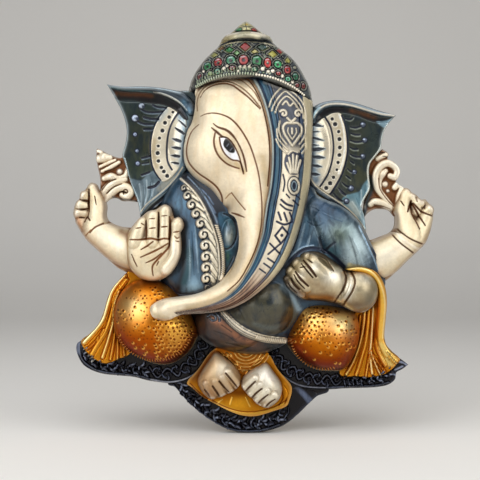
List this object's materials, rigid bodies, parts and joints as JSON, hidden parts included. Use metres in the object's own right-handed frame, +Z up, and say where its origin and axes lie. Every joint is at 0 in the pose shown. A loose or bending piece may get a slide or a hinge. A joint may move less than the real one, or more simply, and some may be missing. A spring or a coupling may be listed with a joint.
{
  "type": "ganesha wall hanging",
  "caption": "Cast relief of a seated elephant-headed figure with a crown, wide ears and a curling trunk, flat at the back, made to hang on a wall.",
  "frame": {"origin": "on the flat back, behind the crown, above the hanging bar", "axes": "+Z up the figure, +Y out of the back into the wall, +X to the right as the figure is looked at"},
  "size_m": [0.2203, 0.0437, 0.2501],
  "materials": {
    "painted_brass": "lacquered",
    "pale_brass": "rubbed bright on the high places, brown in the lines",
    "blue_lacquer": "gloss lacquer",
    "gold_lacquer": "gloss lacquer",
    "black_lacquer": "gloss lacquer",
    "crown_lacquer": "gloss lacquer"
  },
  "bodies": {
    "root": {"ganesha_relief": "painted_brass"}
  },
  "joints": []
}
